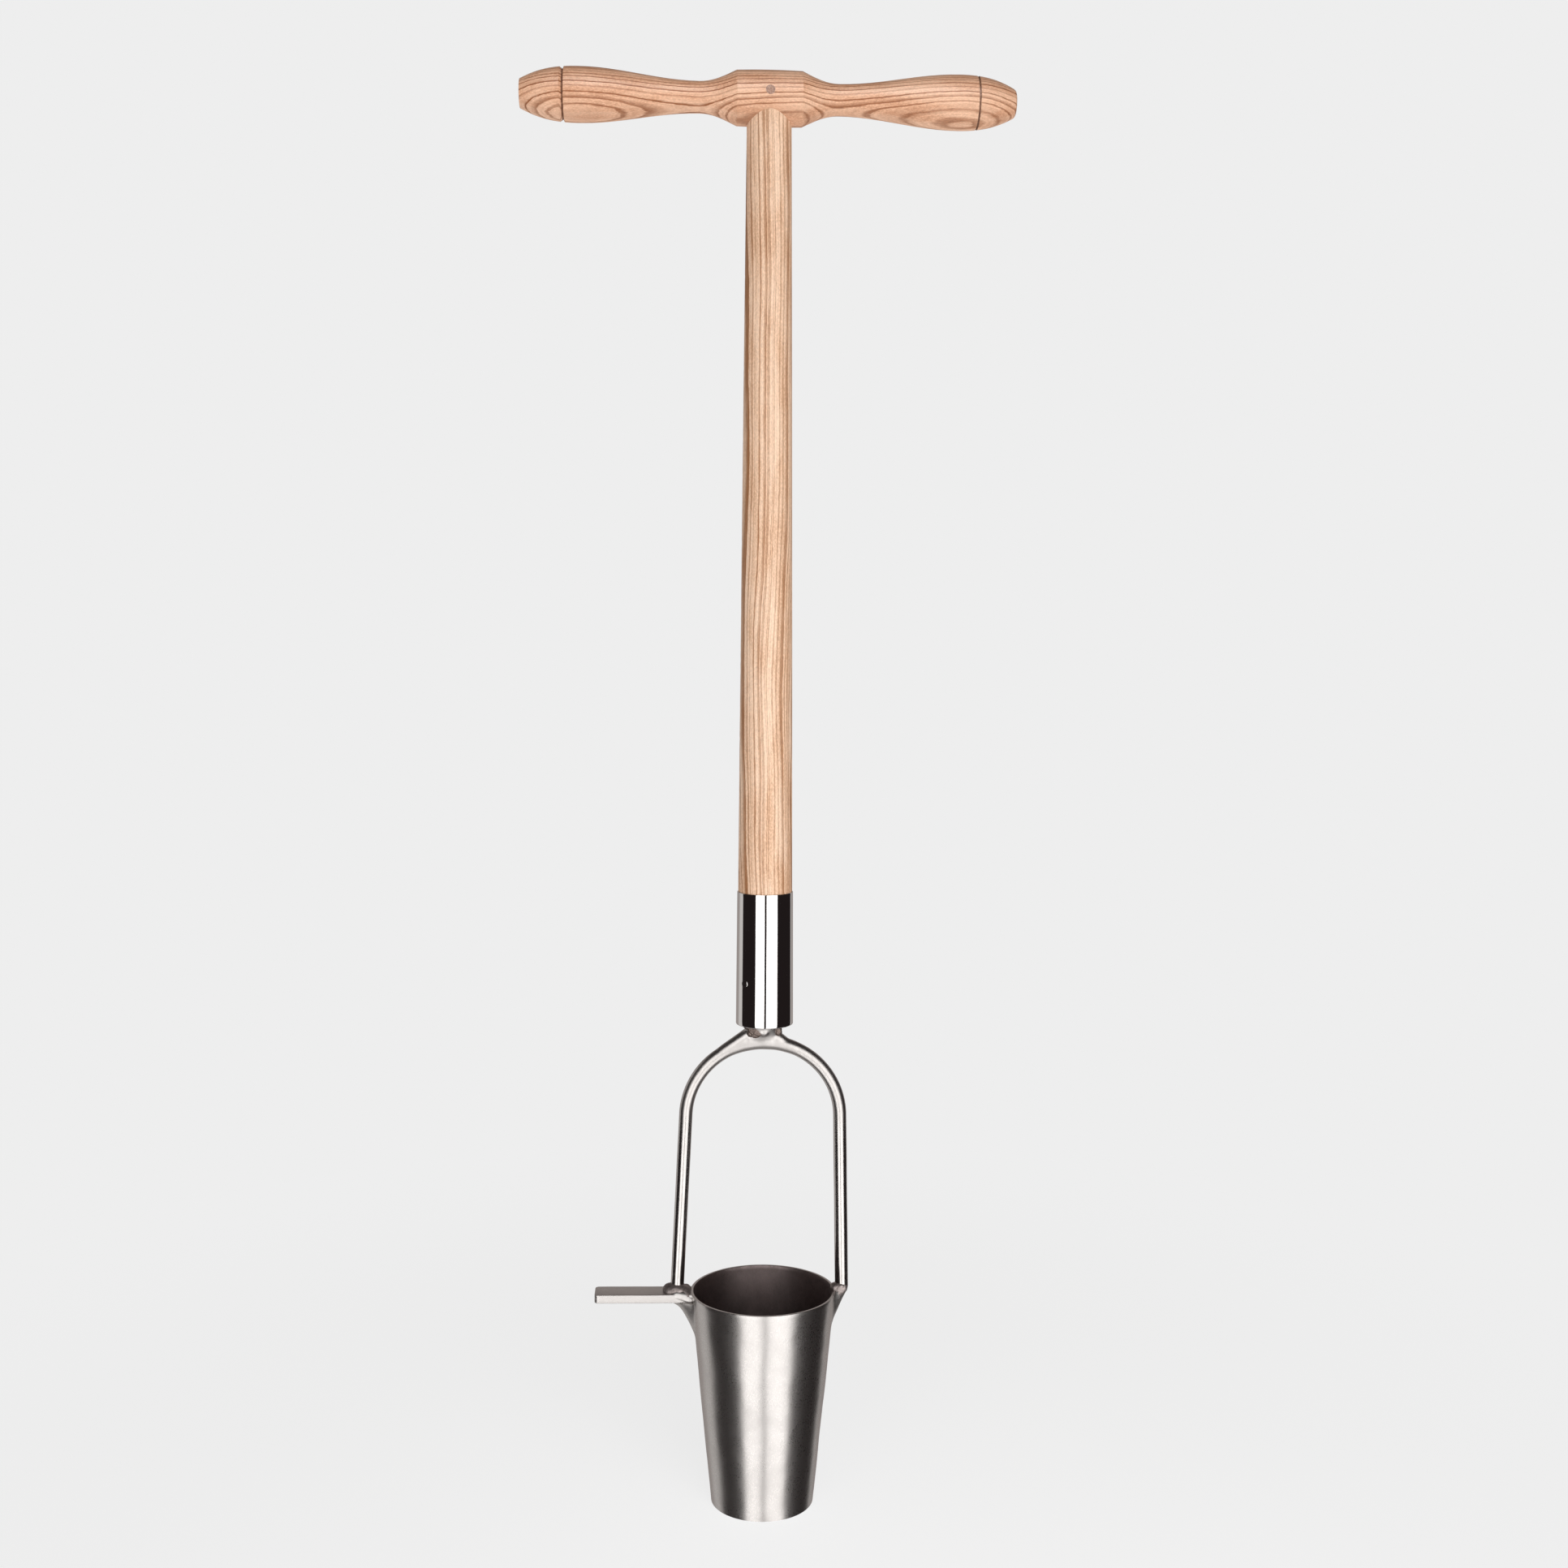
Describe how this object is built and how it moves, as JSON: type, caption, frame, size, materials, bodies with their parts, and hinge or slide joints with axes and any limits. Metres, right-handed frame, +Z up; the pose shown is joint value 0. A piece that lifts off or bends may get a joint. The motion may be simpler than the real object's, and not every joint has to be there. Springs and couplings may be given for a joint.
{
  "type": "potato planter",
  "caption": "Long-handled hand planter: tapered open steel cup on a bent rod bail, side foot step, polished socket, tapered ash shaft and turned ash crossbar.",
  "frame": {"origin": "centre of the cup's lower edge, the ring that the tool stands on", "axes": "+Z up the shaft, X along the crossbar with the foot step on -X, the pictured front faces -Y"},
  "size_m": [0.3384, 0.1045, 1.0085],
  "materials": {
    "turned_ash": "oiled ash, turned, satin",
    "shaft_ash": "oiled ash, tapered, satin",
    "dowel": "end grain, flush",
    "polished_steel": "stainless steel, mirror polished",
    "pin_steel": "stainless steel, polished",
    "rod_steel": "stainless steel, satin polished along the rod",
    "saddle_steel": "stainless weld, ground smooth",
    "satin_steel": "stainless steel, ground satin",
    "step_steel": "stainless flat bar, coarse ground",
    "cup_steel": "stainless sheet, satin blasted",
    "weld_metal": "stainless weld bead, partly ground"
  },
  "bodies": {
    "root": {"crossbar_handle": "turned_ash", "shaft": "shaft_ash", "handle_dowel": "dowel", "socket_tube": "polished_steel", "socket_end_disc": "satin_steel", "socket_pin": "pin_steel", "bail_saddle": "saddle_steel", "saddle_bead": "weld_metal", "bail_rod": "rod_steel", "cup": "cup_steel", "cup_seam_weld": "cup_steel", "foot_step": "step_steel", "step_side_welds": "weld_metal", "step_top_weld": "weld_metal", "left_leg_bead": "weld_metal", "left_leg_lug": "satin_steel", "right_leg_beads": "weld_metal", "right_leg_lug": "satin_steel"}
  },
  "joints": []
}
